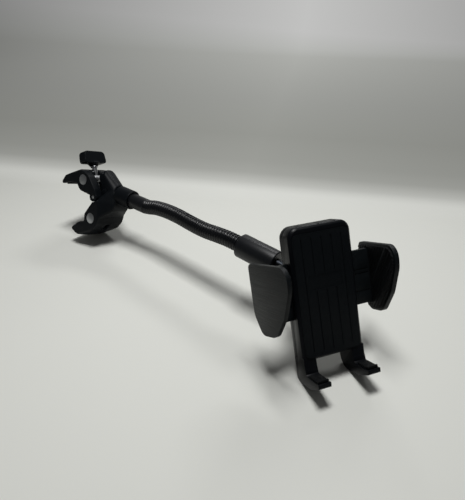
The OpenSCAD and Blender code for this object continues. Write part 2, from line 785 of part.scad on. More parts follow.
// Room for a barrel nut and for the screw through it
module nut_room(side) {
    translate([nut_x, 0, side * nut_z]) rod_y(nut_r + fit, -jaw_w, jaw_w);
    translate([nut_x, 0, 0]) block([-nut_slot_x, -screw_r - slot_play, min(0, side * 60)],
        [nut_slot_x, screw_r + slot_play, max(0, side * 60)]);
}

module upper_jaw() {
    color([0.14, 0.15, 0.16]) in_clamp() difference() {
        union() {
            crowned(upper_top, upper_crown, 1) side_plate(rounded(upper_outline), -jaw_w / 2, jaw_w / 2);
            rod_y(knuckle_r, -jaw_w / 2, jaw_w / 2);
        }
        block([-20, -lug_y - knuckle_gap, -20], [lug_front + 1, lug_y + knuckle_gap, 60]);
        rod_y(knuckle_r + knuckle_gap + 0.4, -lug_y - knuckle_gap, lug_y + knuckle_gap);
        rod_y(hinge_r + fit, -jaw_w, jaw_w);
        nut_room(1);
        translate([nut_x, 0, nut_z]) block([-shoulder_slot_x, -shoulder_r - slot_play, 0],
            [shoulder_slot_x, shoulder_r + slot_play, 40]);
    }
}

// The lower jaw's back: an arched shoulder behind the upper jaw and a round body run into the boss
shoulder_x = [-13, -9.6];
shoulder_y = 9.4;
shoulder_top = 29.4;
bulge = [-13, -13];
bulge_r = 9;
bulge_y = 12;
body_outline = [[-1.5, -25, 8], [-5, -16, 8], [-5.8, -6, 0], [3, -6, 0], [8, -20, 0], [4, -29, 4]];
body_y = 20.5;
boss_root = [-26, -24];
boss_step = 0.5;
lug_outline = [[-12, -8], [2, -8], [5, -2], [knuckle_r, 0], [3, 4.6], [-12, 7]];

module boss_disc() {
    in_boss() rod_x(boss_r - boss_step, boss_root[0], boss_root[1]);
}

module lower_jaw() {
    color([0.14, 0.15, 0.16]) in_clamp() difference() {
        union() {
            crowned(lower_top, lower_crown, -1) side_plate(rounded(lower_outline), -jaw_w / 2, jaw_w / 2);
            side_plate(lug_outline, -lug_y, lug_y);
            rod_y(knuckle_r, -lug_y, lug_y);
            hull() {
                front_plate(rounded_box(shoulder_y, -5, shoulder_top, 0, shoulder_y - 1), shoulder_x[0],
                    shoulder_x[1]);
                boss_disc();
            }
            hull() {
                side_plate(rounded(body_outline), -body_y, body_y);
                translate([bulge[0], 0, bulge[1]]) rod_y(bulge_r, -bulge_y, bulge_y);
                boss_disc();
            }
            in_boss() rod_x(boss_r, boss_root[1] + 3, 0);
        }
        for (s = [-1, 1]) translate([0, s * (lug_y + jaw_w / 2), 0])
            rod_y(knuckle_r + knuckle_gap, -jaw_w / 2, jaw_w / 2);
        rod_y(hinge_r, -lug_y - 1, lug_y + 1);
        nut_room(-1);
        in_boss() {
            rod_x(sleeve_r + fit, -boss_seat, 1);
            translate([sleeve_screw_x, 0, 0]) rod_z(set_screw_r + fit, sleeve_r - 1, boss_r + 20);
        }
    }
}

module hinge_pin() {
    color([0.75, 0.76, 0.78]) in_clamp() rod_y(hinge_r, -jaw_w / 2 + 0.5, jaw_w / 2 - 0.5);
}

module barrel_nut(side) {
    color([0.78, 0.79, 0.81]) in_clamp() translate([nut_x, 0, side * nut_z]) difference() {
        rod_y(nut_r, -jaw_w / 2 + 0.3, jaw_w / 2 - 0.3);
        rod_z(screw_r + fit, -nut_r - 1, nut_r + 1);
        if (side > 0) block([-nut_r, -shoulder_r - slot_play, nut_r - 0.6],
            [nut_r, shoulder_r + slot_play, nut_r + 1]);
    }
}

module upper_barrel_nut() {
    barrel_nut(1);
}

module lower_barrel_nut() {
    barrel_nut(-1);
}

module clamp_screw() {
    color([0.78, 0.79, 0.81]) in_clamp() translate([nut_x, 0, 0]) {
        rod_z(screw_r, screw_low, screw_top);
        rod_z(shoulder_r, nut_z + nut_r - 0.5, washer_z);
    }
}

module knob_washer() {
    color([0.8, 0.81, 0.83]) in_clamp() translate([nut_x, 0, 0]) difference() {
        rod_z(washer_r, washer_z, washer_z + washer_t);
        rod_z(screw_r + fit, washer_z - 1, washer_z + washer_t + 1);
    }
}

module clamp_knob() {
    hub_r = knob_t / 2;
    color([0.13, 0.14, 0.15]) in_clamp() translate([nut_x, 0, 0]) difference() {
        union() {
            front_plate(rounded([[-knob_l / 2, knob_z0 + 1, 3], [knob_l / 2, knob_z0 + 1, 3],
                [knob_l / 2 - 1.5, knob_z1, 5], [1.5 - knob_l / 2, knob_z1, 5]]), -knob_t / 2, knob_t / 2);
            translate([0, 0, washer_z + washer_t]) cylinder(r1 = hub_r - 0.6, r2 = hub_r + 2, h = 4.5);
        }
        rod_z(screw_r + fit, washer_z, screw_top + 0.1);
    }
}

// Rubber in the claws, on the mouth's faces
upper_pad_x = [25, 42.5];
lower_pad_x = [28, 40.5];
pad_side = 3;
function on_line(p, q, x) = [x, p[1] + (q[1] - p[1]) * (x - p[0]) / (q[0] - p[0])];
function across(p, q) = let(d = unit(q - p)) [-d[1], d[0]];

// Strip of thickness t on the left of the line from p over the rounded corner bend to q
function strip(p, bend, q, r, t) =
    let(a = across(p, flat(bend)), b = across(flat(bend), q), m = unit(a + b) * t / (unit(a + b) * a))
    rounded([concat(p, 0), concat(flat(bend), r), concat(q, 0), concat(q + b * t, 0.3),
        concat(flat(bend) + m, r - t), concat(p + a * t, 0.3)]);

module claw_pad(outline) {
    color([0.08, 0.08, 0.09]) in_clamp() side_plate(outline, -jaw_w / 2 + pad_side, jaw_w / 2 - pad_side);
}

module upper_claw_pad() {
    bend = upper_outline[9];
    claw_pad(strip(on_line(flat(upper_outline[8]), flat(bend), upper_pad_x[1]), bend,
        on_line(flat(bend), flat(upper_outline[10]), upper_pad_x[0]), bend[2], claw_pad_t));
}

module lower_claw_pad() {
    bend = lower_outline[3];
    claw_pad(strip(on_line(flat(lower_outline[2]), flat(bend), lower_pad_x[0]), bend,
        on_line(flat(bend), flat(lower_outline[4]), lower_pad_x[1]), bend[2], claw_pad_t));
}

face_pad();
front_housing();
rear_cover();
left_hook_sole();
right_hook_sole();
left_arm();
right_arm();
left_arm_liner();
right_arm_liner();
pinion_gear();
gear_axle();
release_button();
button_spring();
cover_screws();
ring_nut();
ball_stud();
neck_collar();
collar_set_screw();
gooseneck();
neck_sleeve();
sleeve_set_screw();
lower_jaw();
upper_jaw();
hinge_pin();
upper_barrel_nut();
lower_barrel_nut();
clamp_screw();
knob_washer();
clamp_knob();
upper_claw_pad();
lower_claw_pad();
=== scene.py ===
import json
import math

import bmesh
import bpy
from bpy.props import FloatProperty, IntProperty, PointerProperty
from mathutils import Matrix, Vector


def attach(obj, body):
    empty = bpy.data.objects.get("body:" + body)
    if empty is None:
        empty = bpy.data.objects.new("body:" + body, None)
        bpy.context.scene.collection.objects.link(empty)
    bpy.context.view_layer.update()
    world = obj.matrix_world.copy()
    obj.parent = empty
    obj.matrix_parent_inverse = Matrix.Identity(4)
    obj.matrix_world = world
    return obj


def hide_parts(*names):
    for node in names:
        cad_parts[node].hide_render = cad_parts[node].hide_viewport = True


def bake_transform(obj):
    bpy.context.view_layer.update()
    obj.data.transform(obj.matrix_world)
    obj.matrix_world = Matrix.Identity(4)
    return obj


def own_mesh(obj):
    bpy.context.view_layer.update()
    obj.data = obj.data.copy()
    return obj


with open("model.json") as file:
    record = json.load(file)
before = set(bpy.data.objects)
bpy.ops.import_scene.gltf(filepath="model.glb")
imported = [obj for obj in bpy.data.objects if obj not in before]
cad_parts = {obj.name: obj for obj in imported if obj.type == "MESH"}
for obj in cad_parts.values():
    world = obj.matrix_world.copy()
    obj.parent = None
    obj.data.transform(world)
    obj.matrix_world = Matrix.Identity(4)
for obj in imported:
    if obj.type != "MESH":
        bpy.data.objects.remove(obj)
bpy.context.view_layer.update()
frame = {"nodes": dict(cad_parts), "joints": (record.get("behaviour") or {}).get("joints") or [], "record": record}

bl_info = {
    "name": "Handlebar phone holder",
    "version": (1, 0, 0),
    "blender": (4, 5, 0),
    "location": "View3D > Sidebar > Holder",
    "description": "Builds a phone holder with geared arms, a ball joint, a flexible neck and a bar clamp",
    "category": "Add Mesh",
}

# One millimetre in the scene's unit
MM = 0.001
# Vertices of the solids nearer than this are one
MERGE = 0.002 * MM
# Joints by name, and the body that each CAD node rides with
JOINTS = {joint["name"]: joint for joint in frame["joints"]}
BODY_OF = {
    node: body
    for body, nodes in frame["record"]["behaviour"]["bodies"].items()
    for node in nodes
}


def axis_of(name):
    """Unit vector of a joint's axis."""
    return Vector(JOINTS[name]["axis"]).normalized()


def place_of(name):
    """A joint's point in the row frame, in metres."""
    return Vector(JOINTS[name]["pos_m"])


def frame_from(origin, x, y, z):
    """Matrix that takes a piece's own axes to the row frame."""
    turn = Matrix((x, y, z)).transposed()
    return Matrix.Translation(origin) @ turn.to_4x4()


# Cradle: the direction that the phone's face looks in, its lean, and the ball's centre behind it
FACE = axis_of("cradle_turn")
LEAN = math.atan2(FACE.z, FACE.x)
BALL = place_of("cradle_turn")

# Neck: the direction from the ball's centre towards the clamp
NECK_X = axis_of("ball_swivel")

# Clamp: x out of the mouth, y along the hinge, z along the screw, 0 on the hinge
HINGE_Y = -axis_of("jaw_hinge")
SCREW_Z = axis_of("knob_turn")
CLAMP = frame_from(place_of("jaw_hinge"), HINGE_Y.cross(SCREW_Z), HINGE_Y, SCREW_Z)


# Screw in the clamp's frame: lower end, both ends of the shoulder, and the end in the knob
SCREW_X = 11.0 * MM
SCREW_HEIGHTS = (-31.0 * MM, 28.5 * MM, 38.0 * MM, 50.0 * MM)
SCREW_RADIUS = 2.75 * MM
SHOULDER_RADIUS = 3.1 * MM
SCREW_CHAMFER = 0.6 * MM

# Crests of the neck's rings
NECK_RADIUS = 8.1 * MM
# The neck's route as in the solids, in millimetres from the ball: distance, side and height
NECK_ROUTE = (
    (90, 0, 5.3), (106, -0.3, 4.1), (122, -0.8, 2.6), (140, -1.5, 2.8), (160, -2.2, 4), (178, -2.7, 3.8),
    (196, -2.8, 1.9),
)
NECK_SOCKET = (234.2, 0, -0.21)
# Where the neck is seated in the collar, from the ball, and where it meets the sleeve, from the socket
SEAT = (65.0 * MM, 74.0 * MM)
SLEEVE_LENGTH = 22.2 * MM
BOSS_TURN = math.radians(29.2)
# Length of the straight leads that give the line its direction, at the collar and at the sleeve
LEADS = (6.0 * MM, 16.0 * MM)


def neck_point(along, aside, above):
    """A point of the neck's route, given in millimetres."""
    ahead = Vector((NECK_X.x, NECK_X.y, 0)).normalized()
    up = Vector((0, 0, 1))
    return BALL + MM * (along * ahead + aside * up.cross(ahead) + above * up)


def neck_line(steps=12):
    """Smooth line through the neck's points, from the collar to the sleeve."""
    boss = CLAMP.to_3x3() @ Vector((-math.cos(BOSS_TURN), 0, -math.sin(BOSS_TURN)))
    end = neck_point(*NECK_SOCKET) + SLEEVE_LENGTH * boss
    knots = [BALL + d * NECK_X for d in SEAT] + [neck_point(*p) for p in NECK_ROUTE] + [end]
    ends = [knots[0] - LEADS[0] * NECK_X, *knots, end - LEADS[1] * boss]
    line = []
    for a, b, c, d in zip(ends, ends[1:], ends[2:], ends[3:]):
        for k in range(steps):
            t = k / steps
            line.append(0.5 * (2 * b + (c - a) * t + (2 * a - 5 * b + 4 * c - d) * t * t
                               + (3 * b - a - 3 * c + d) * t * t * t))
    return [*line, end]


# Front of the arched shoulder between the upper jaw's prongs: nearer and further x, half width, foot and top
SHOULDER = (-11.0 * MM, -4.0 * MM, 9.4 * MM, 4.0 * MM, 29.4 * MM)


def shoulder_points(steps=10):
    """Corners of the shoulder's front part in the row frame: an arch that stands on the hinge's lug."""
    back, front, half, foot, top = SHOULDER
    arch = [(half * math.cos(math.pi * k / steps), top - half + half * math.sin(math.pi * k / steps))
            for k in range(steps + 1)]
    outline = [*arch, (-half, foot), (half, foot)]
    return [CLAMP @ Vector((x, y, z)) for x in (back, front) for y, z in outline]


class HolderFinish(bpy.types.PropertyGroup):
    """Colours of the holder's materials, as sRGB hex numbers in text order"""

    shell_hex: IntProperty(name="Shell", description="Glossy moulded housing", default=0x0A0C0F)
    pad_hex: IntProperty(name="Pad", description="Rubber under the phone", default=0x0B0F12)
    grip_hex: IntProperty(name="Grip", description="Ribbed rubber of the arms and hooks", default=0x080A0C)
    liner_hex: IntProperty(name="Liner", description="Ribs of the arms' rubber", default=0x191C1E)
    arm_hex: IntProperty(name="Arms", description="Brushed plastic of the arms", default=0x0D1113)
    jaw_hex: IntProperty(name="Jaws", description="Grained plastic of the clamp", default=0x0C0F12)
    neck_hex: IntProperty(name="Neck", description="Coated flexible neck", default=0x0A0C0F)
    collar_hex: IntProperty(name="Collar", description="Anodised collar and sleeve", default=0x0F1114)
    oxide_hex: IntProperty(name="Black oxide", description="Blackened steel of the stud", default=0x1E2023)
    steel_hex: IntProperty(name="Steel", description="Zinc plated steel", default=0xB9BBBD)
    gear_hex: IntProperty(name="Pinion", description="Acetal pinion", default=0xD6D3CA)


class HolderSizes(bpy.types.PropertyGroup):
    """Sizes that are set in the scene and not by the solids"""

    edge: FloatProperty(
        name="Edge", description="Rounding of moulded edges", default=0.8 * MM, unit="LENGTH")
    ring_pitch: FloatProperty(
        name="Ring pitch", description="Distance of the neck's rings", default=3.3 * MM, unit="LENGTH")
    groove: FloatProperty(
        name="Groove", description="Depth between two rings", default=1.2 * MM, unit="LENGTH")
    thread_pitch: FloatProperty(
        name="Thread pitch", description="Pitch of the clamp screw", default=1.0 * MM, unit="LENGTH")
    floor_hex: IntProperty(name="Floor", description="Pale floor", default=0xDCDDD7)


def rgb(number):
    """Linear colour with alpha from an sRGB hex number."""
    channels = [(number >> shift & 255) / 255 for shift in (16, 8, 0)]
    linear = [c / 12.92 if c <= 0.04045 else ((c + 0.055) / 1.055) ** 2.4 for c in channels]
    return (*linear, 1.0)


def add(tree, kind, inputs=None, **settings):
    """Adds a node with its settings; an input is a value to set or a socket to link."""
    node = tree.nodes.new(kind)
    for name, value in settings.items():
        setattr(node, name, value)
    for name, value in (inputs or {}).items():
        if isinstance(value, bpy.types.NodeSocket):
            tree.links.new(value, node.inputs[name])
        else:
            node.inputs[name].default_value = value
    return node


def math_socket(tree, operation, *values):
    """Output socket of one step of arithmetic."""
    return add(tree, "ShaderNodeMath", dict(enumerate(values)), operation=operation).outputs["Value"]


def new_material(name):
    """Empty node material with its output, and the tree to build in."""
    material = bpy.data.materials.new(name)
    material.use_nodes = True
    material.node_tree.nodes.clear()
    return material, material.node_tree


def mix_sockets(node):
    """The colour sockets of a Mix node, which share their names with the others."""
    return node.inputs[6], node.inputs[7], node.outputs[2]


def drifting(tree, place, number, spread, scale):
    """Output socket of a base colour that drifts a little in lightness over the surface."""
    base = Vector(rgb(number)[:3])
    drift = add(tree, "ShaderNodeTexNoise", {"Vector": place, "Scale": scale, "Detail": 3.0})
    mix = add(tree, "ShaderNodeMix", {"Factor": drift.outputs["Fac"]}, data_type="RGBA")
    low, high, result = mix_sockets(mix)
    low.default_value = (*(base * (1 - spread)), 1)
    high.default_value = (*(base * (1 + spread)), 1)
    return result


def ranged(tree, value, low, high, start=0.0, end=1.0):
    """Output socket of a value between start and end, moved to low and high."""
    return add(tree, "ShaderNodeMapRange", {"Value": value, "From Min": start, "From Max": end,
                                            "To Min": low, "To Max": high}).outputs["Result"]


def finish_shader(tree, colour, roughness, bump, height, **constants):
    """Principled shader with a bump of the given real height, in metres."""
    normal = add(tree, "ShaderNodeBump", {"Height": bump, "Distance": height, "Strength": 1.0})
    shader = add(tree, "ShaderNodeBsdfPrincipled",
                 {"Base Color": colour, "Roughness": roughness, "Normal": normal.outputs["Normal"]})
    for name, value in constants.items():
        shader.inputs[name.replace("_", " ")].default_value = value
    add(tree, "ShaderNodeOutputMaterial", {"Surface": shader.outputs["BSDF"]})


def moulded_plastic(name, number, grain_mm, depth_mm, rough, spread=0.18, level=0.15):
    """Moulded ABS or nylon: dark, with an eroded mould grain and slightly uneven gloss."""
    material, tree = new_material(name)
    place = add(tree, "ShaderNodeTexCoord").outputs["Object"]
    grain = add(tree, "ShaderNodeTexNoise",
                {"Vector": place, "Scale": 1 / (grain_mm * MM), "Detail": 4.0, "Roughness": 0.6})
    patches = add(tree, "ShaderNodeTexNoise", {"Vector": place, "Scale": 60.0, "Detail": 2.0})
    finish_shader(tree, drifting(tree, place, number, spread, 90.0),
                  ranged(tree, patches.outputs["Fac"], rough[0], rough[1]),
                  grain.outputs["Fac"], depth_mm * MM, IOR=1.4, Specular_IOR_Level=level)
    return material


def in_cradle_coords(tree):
    """Object coordinates turned so that x leaves the phone's face and z runs up it."""
    place = add(tree, "ShaderNodeTexCoord").outputs["Object"]
    return add(tree, "ShaderNodeMapping", {"Vector": place, "Rotation": (0, LEAN, 0)}).outputs["Vector"]


def brushed_plastic(name, number):
    """Plastic moulded with a fine brushed grain along the fin: long thin streaks."""
    material, tree = new_material(name)
    place = in_cradle_coords(tree)
    stretch = add(tree, "ShaderNodeMapping", {"Vector": place, "Scale": (40.0, 40.0, 1400.0)})
    streaks = add(tree, "ShaderNodeTexNoise",
                  {"Vector": stretch.outputs["Vector"], "Scale": 1.0, "Detail": 3.0, "Roughness": 0.7})
    finish_shader(tree, drifting(tree, place, number, 0.2, 120.0),
                  ranged(tree, streaks.outputs["Fac"], 0.3, 0.6), streaks.outputs["Fac"], 0.2 * MM, IOR=1.4,
                  Specular_IOR_Level=0.2)
    return material


# Scale at which the wave texture has about one band in each unit, and the painted shade deep in the grooves
# between two ribs
BAND_SCALE = 0.3183
PAINTED_GROOVE_SHADE = 0x020203


def moulded_rubber(name, number, rib_mm, direction, turn=0.0, painted_shade_share=0.0):
    """Silicone rubber with fine moulded ribs: matt, with a soft sheen on the ribs.
    The ribs may be turned about the cradle's y, and their grooves may be darkened with painted shade."""
    material, tree = new_material(name)
    place = in_cradle_coords(tree)
    slanted = add(tree, "ShaderNodeMapping", {"Vector": place, "Rotation": (0, math.radians(turn), 0)})
    scale = [0.0, 0.0, 0.0]
    scale[direction] = 1 / (rib_mm * MM)
    line = add(tree, "ShaderNodeMapping", {"Vector": slanted.outputs["Vector"], "Scale": scale})
    ribs = add(tree, "ShaderNodeTexWave",
               {"Vector": line.outputs["Vector"], "Scale": BAND_SCALE, "Detail": 0.0},
               wave_type="BANDS", bands_direction="XYZ"[direction], wave_profile="SIN")
    dust = add(tree, "ShaderNodeTexNoise", {"Vector": place, "Scale": 900.0, "Detail": 3.0})
    height = math_socket(tree, "MULTIPLY_ADD", ribs.outputs["Fac"], 2.5, dust.outputs["Fac"])
    # Painted shade: between the ribs the colour darkens towards the deep groove shade, by the given share
    shade = add(tree, "ShaderNodeMix", {"Factor": ranged(tree, ribs.outputs["Fac"], 1 - painted_shade_share, 1.0)},
                data_type="RGBA")
    low, high, colour = mix_sockets(shade)
    low.default_value = rgb(PAINTED_GROOVE_SHADE)
    tree.links.new(drifting(tree, place, number, 0.16, 150.0), high)
    finish_shader(tree, colour, ranged(tree, dust.outputs["Fac"], 0.48, 0.66), height, 0.08 * MM,
                  IOR=1.4, Specular_IOR_Level=0.15)
    return material


def plated_steel(name, number, rough):
    """Zinc plated turned steel: bright, with fine turning marks."""
    material, tree = new_material(name)
    place = add(tree, "ShaderNodeTexCoord").outputs["Object"]
    marks = add(tree, "ShaderNodeTexNoise", {"Vector": place, "Scale": 2200.0, "Detail": 2.0})
    stain = add(tree, "ShaderNodeTexNoise", {"Vector": place, "Scale": 180.0, "Detail": 4.0})
    finish_shader(tree, drifting(tree, place, number, 0.08, 300.0),
                  ranged(tree, stain.outputs["Fac"], rough[0], rough[1]), marks.outputs["Fac"], 0.01 * MM,
                  Metallic=1.0)
    return material


def anodised(name, number):
    """Satin black anodised aluminium tube: dark, with a long soft highlight."""
    material, tree = new_material(name)
    place = add(tree, "ShaderNodeTexCoord").outputs["Object"]
    blast = add(tree, "ShaderNodeTexNoise", {"Vector": place, "Scale": 1800.0, "Detail": 3.0})
    finish_shader(tree, drifting(tree, place, number, 0.12, 100.0),
                  ranged(tree, blast.outputs["Fac"], 0.3, 0.42), blast.outputs["Fac"], 0.01 * MM, IOR=1.5,
                  Specular_IOR_Level=0.3)
    return material


def seamless_paper(name, number):
    """Matt seamless paper: a lit floor, and behind it a backdrop that glows to the eye with painted light and
    shade, darker in a band behind the floor, lighter further up and darker to the sides.
    """
    material, tree = new_material(name)
    place = add(tree, "ShaderNodeTexCoord").outputs["Object"]
    along = add(tree, "ShaderNodeVectorMath", {0: place, 1: (*FADE_DIRECTION, 1.0)}, operation="DOT_PRODUCT")
    aside = add(tree, "ShaderNodeVectorMath", {0: place, 1: (FADE_DIRECTION[1], -FADE_DIRECTION[0], 0.0)},
                operation="DOT_PRODUCT")
    start, end = BACKDROP[0][0], BACKDROP[-1][0]
    reach = ranged(tree, along.outputs["Value"], 0.0, 1.0, start, end)
    ramp = add(tree, "ShaderNodeValToRGB", {"Fac": reach})
    stops = ramp.color_ramp.elements
    stops[0].color, stops[1].color = rgb(BACKDROP[0][1]), rgb(BACKDROP[-1][1])
    for distance, shade in BACKDROP[1:-1]:
        stops.new((distance - start) / (end - start)).color = rgb(shade)
    # Painted light: the backdrop glows with its ramp of painted shades, weaker to the sides, in place of light
    # falling off over the sheet
    off_middle = math_socket(tree, "ABSOLUTE", aside.outputs["Value"])
    strength = math_socket(tree, "MULTIPLY_ADD", off_middle, -SIDE_FALL, 1.0)
    glow = add(tree, "ShaderNodeEmission", {"Color": ramp.outputs["Color"], "Strength": strength})
    fibre = add(tree, "ShaderNodeTexNoise", {"Vector": place, "Scale": 500.0, "Detail": 2.0})
    normal = add(tree, "ShaderNodeBump",
                 {"Height": fibre.outputs["Fac"], "Distance": 0.02 * MM, "Strength": 1.0})
    paper = add(tree, "ShaderNodeBsdfPrincipled",
                {"Base Color": drifting(tree, place, number, 0.012, 6.0), "Normal": normal.outputs["Normal"],
                 "Roughness": ranged(tree, fibre.outputs["Fac"], 0.75, 0.9)})
    path = add(tree, "ShaderNodeLightPath").outputs
    seen = math_socket(tree, "MAXIMUM", path["Is Camera Ray"], path["Is Glossy Ray"])
    seen = math_socket(tree, "MAXIMUM", seen, path["Is Transmission Ray"])
    share = math_socket(tree, "MULTIPLY", seen,
                        ranged(tree, along.outputs["Value"], 0.0, 1.0, start, BACKDROP[2][0]))
    mix = add(tree, "ShaderNodeMixShader", {0: share, 1: paper.outputs["BSDF"], 2: glow.outputs["Emission"]})
    add(tree, "ShaderNodeOutputMaterial", {"Surface": mix.outputs["Shader"]})
    return material


def finish_mesh(piece, material, smooth=35):
    """Smooth shading with crisp creases, and one material."""
    mesh = piece.data
    mesh.materials.clear()
    mesh.materials.append(material)
    for face in mesh.polygons:
        face.use_smooth = True
        face.material_index = 0
    mesh.set_sharp_from_angle(angle=math.radians(smooth))


def new_piece(name, bm, material, smooth=35):
    """Object at the origin from a bmesh."""
    mesh = bpy.data.meshes.new(name)
    bm.to_mesh(mesh)
    bm.free()
    piece = bpy.data.objects.new(name, mesh)
    bpy.context.scene.collection.objects.link(piece)
    finish_mesh(piece, material, smooth)
    return piece


def merged_copy(node):
    """A CAD node's mesh as a bmesh, with its triangles joined to plain faces."""
    bm = bmesh.new()
    bm.from_mesh(frame["nodes"][node].data)
    bmesh.ops.remove_doubles(bm, verts=bm.verts, dist=MERGE)
    bmesh.ops.dissolve_limit(bm, angle_limit=math.radians(0.5), verts=bm.verts, edges=bm.edges)
    return bm


def plain_piece(node, material):
    """Copy of a CAD node as it is, with flat faces."""
    bm = bmesh.new()
    bm.from_mesh(frame["nodes"][node].data)
    bmesh.ops.remove_doubles(bm, verts=bm.verts, dist=MERGE)
    piece = new_piece(f"{node}_finished", bm, material)
    for face in piece.data.polygons:
        face.use_smooth = False
    settle(piece, node)
    return piece


def rounded_piece(node, material, width, segments=3, sharp=32):
    """Copy of a CAD node with its edges rounded, which stands for the node."""
    bm = merged_copy(node)
    edges = [e for e in bm.edges if e.is_manifold and e.calc_face_angle(0) > math.radians(sharp)]
    bmesh.ops.bevel(bm, geom=edges, offset=width, offset_type="OFFSET", segments=segments, profile=0.5,
                    affect="EDGES", clamp_overlap=True, miter_outer="ARC")
    piece = new_piece(f"{node}_finished", bm, material)
    settle(piece, node)
    return piece


def settle(piece, *nodes):
    """The piece rides with the body of its first node and stands for the nodes, which are hidden."""
    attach(piece, BODY_OF[nodes[0]])
    stand_for(piece, *nodes)


def stand_for(piece, *nodes):
    """The piece stands for the nodes, which are hidden."""
    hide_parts(*nodes)


# How a casting is rounded: size of its voxels, smoothing passes and the share of the faces that is kept
JAW_ROUNDING = (0.55 * MM, 12, 0.4)
KNOB_ROUNDING = (0.45 * MM, 24, 0.5)


def softened_piece(node, material, rounding, extra=()):
    """Copy of a CAD node remeshed and smoothed, for castings whose every edge is round.
    The hull of some extra points may be joined to it."""
    voxel, passes, keep = rounding
    bm = merged_copy(node)
    bmesh.ops.triangulate(bm, faces=bm.faces)
    if extra:
        hull = bmesh.ops.convex_hull(bm, input=[bm.verts.new(p) for p in extra])
        faces = [part for part in hull["geom"] if isinstance(part, bmesh.types.BMFace)]
        bmesh.ops.recalc_face_normals(bm, faces=faces)
    piece = new_piece(f"{node}_finished", bm, material)
    remesh = piece.modifiers.new("remesh", "REMESH")
    remesh.mode = "VOXEL"
    remesh.voxel_size = voxel
    smooth = piece.modifiers.new("smooth", "SMOOTH")
    smooth.factor = 0.5
    smooth.iterations = passes
    thin = piece.modifiers.new("thin", "DECIMATE")
    thin.ratio = keep
    bake(piece)
    finish_mesh(piece, material, 50)
    settle(piece, node)
    return piece


def bake(piece):
    """Plain mesh in place of the piece's modifiers, with its faces outwards."""
    baked = bpy.data.meshes.new_from_object(piece.evaluated_get(bpy.context.evaluated_depsgraph_get()))
    piece.modifiers.clear()
    piece.data = baked
    bm = bmesh.new()
    bm.from_mesh(baked)
    bmesh.ops.recalc_face_normals(bm, faces=bm.faces)
    bm.to_mesh(baked)
    bm.free()


def lathe(profile, sides=48):
    """Closed bmesh turned about z, from pairs of radius and height from the bottom to the top."""
    bm = bmesh.new()
    rings = []
    for radius, height in profile:
        angles = [math.tau * k / sides for k in range(sides if radius else 1)]
        rings.append([bm.verts.new((radius * math.cos(a), radius * math.sin(a), height)) for a in angles])
    for low, high in zip(rings, rings[1:]):
        for k in range(sides):
            corners = [low[k % len(low)], low[(k + 1) % len(low)]]
            corners += [high[(k + 1) % len(high)], high[k % len(high)]]
            bm.faces.new(dict.fromkeys(corners))
    bmesh.ops.recalc_face_normals(bm, faces=bm.faces)
    return bm


def node_tree(name, inputs):
    """Geometry tree with its named sizes; gives the tree and the sockets of its inputs."""
    tree = bpy.data.node_groups.new(name, "GeometryNodeTree")
    tree.interface.new_socket("Geometry", in_out="INPUT", socket_type="NodeSocketGeometry")
    for label in inputs:
        tree.interface.new_socket(label, in_out="INPUT", socket_type="NodeSocketFloat")
    tree.interface.new_socket("Geometry", in_out="OUTPUT", socket_type="NodeSocketGeometry")
    return tree, add(tree, "NodeGroupInput").outputs


def end_tree(tree, shape, material):
    """Makes the instances real, shades them smooth and gives them their material."""
    real = add(tree, "GeometryNodeRealizeInstances", {"Geometry": shape})
    smooth = add(tree, "GeometryNodeSetShadeSmooth", {"Geometry": real.outputs["Geometry"]})
    dressed = add(tree, "GeometryNodeSetMaterial",
                  {"Geometry": smooth.outputs["Geometry"], "Material": material})
    add(tree, "NodeGroupOutput", {"Geometry": dressed.outputs["Geometry"]})


def run_tree(piece, tree, **sizes):
    """Runs a tree on a piece with its sizes, and bakes the result."""
    modifier = piece.modifiers.new(tree.name, "NODES")
    modifier.node_group = tree
    for item in tree.interface.items_tree:
        if item.in_out == "INPUT" and item.name in sizes:
            modifier[item.identifier] = sizes[item.name]
    bake(piece)


# Steps along the line in one ring, and sides of the tube
RING_STEPS = 10.0
TUBE_SIDES = 36


def ringed_neck_tree(material):
    """A tube along a line, whose radius swells over each ring and falls to a groove between two."""
    tree, given = node_tree("ringed_neck", ("Pitch", "Radius", "Groove"))
    line = add(tree, "GeometryNodeMeshToCurve", {"Mesh": given["Geometry"]})
    step = math_socket(tree, "DIVIDE", given["Pitch"], RING_STEPS)
    fine = add(tree, "GeometryNodeResampleCurve", {"Curve": line.outputs["Curve"], "Length": step},
               mode="LENGTH")
    length = add(tree, "GeometryNodeSplineParameter").outputs["Length"]
    phase = math_socket(tree, "FRACT", math_socket(tree, "DIVIDE", length, given["Pitch"]))
    across = math_socket(tree, "MULTIPLY_ADD", phase, 2.0, -1.0)
    depth = math_socket(tree, "MULTIPLY", math_socket(tree, "MULTIPLY", across, across), given["Groove"])
    radius = math_socket(tree, "SUBTRACT", given["Radius"], depth)
    ring = add(tree, "GeometryNodeCurvePrimitiveCircle", {"Resolution": TUBE_SIDES, "Radius": 1.0})
    tube = add(tree, "GeometryNodeCurveToMesh",
               {"Curve": fine.outputs["Curve"], "Scale": radius, "Profile Curve": ring.outputs["Curve"],
                "Fill Caps": True})
    end_tree(tree, tube.outputs["Mesh"], material)
    return tree


def thread_tree(material):
    """Adds a screw thread about z to a turned core."""
    tree, given = node_tree("screw_thread", ("Pitch", "Radius", "Length", "Rib"))
    turns = math_socket(tree, "DIVIDE", given["Length"], given["Pitch"])
    spiral = add(tree, "GeometryNodeCurveSpiral",
                 {"Resolution": 24, "Rotations": turns, "Height": given["Length"],
                  "Start Radius": given["Radius"], "End Radius": given["Radius"]})
    ridge = add(tree, "GeometryNodeCurvePrimitiveCircle", {"Resolution": 5, "Radius": 1.0})
    thread = add(tree, "GeometryNodeCurveToMesh",
                 {"Curve": spiral.outputs["Curve"], "Scale": given["Rib"],
                  "Profile Curve": ridge.outputs["Curve"], "Fill Caps": True})
    both = add(tree, "GeometryNodeJoinGeometry")
    for shape in (thread.outputs["Mesh"], given["Geometry"]):
        tree.links.new(shape, both.inputs["Geometry"])
    end_tree(tree, both.outputs["Geometry"], material)
    return tree


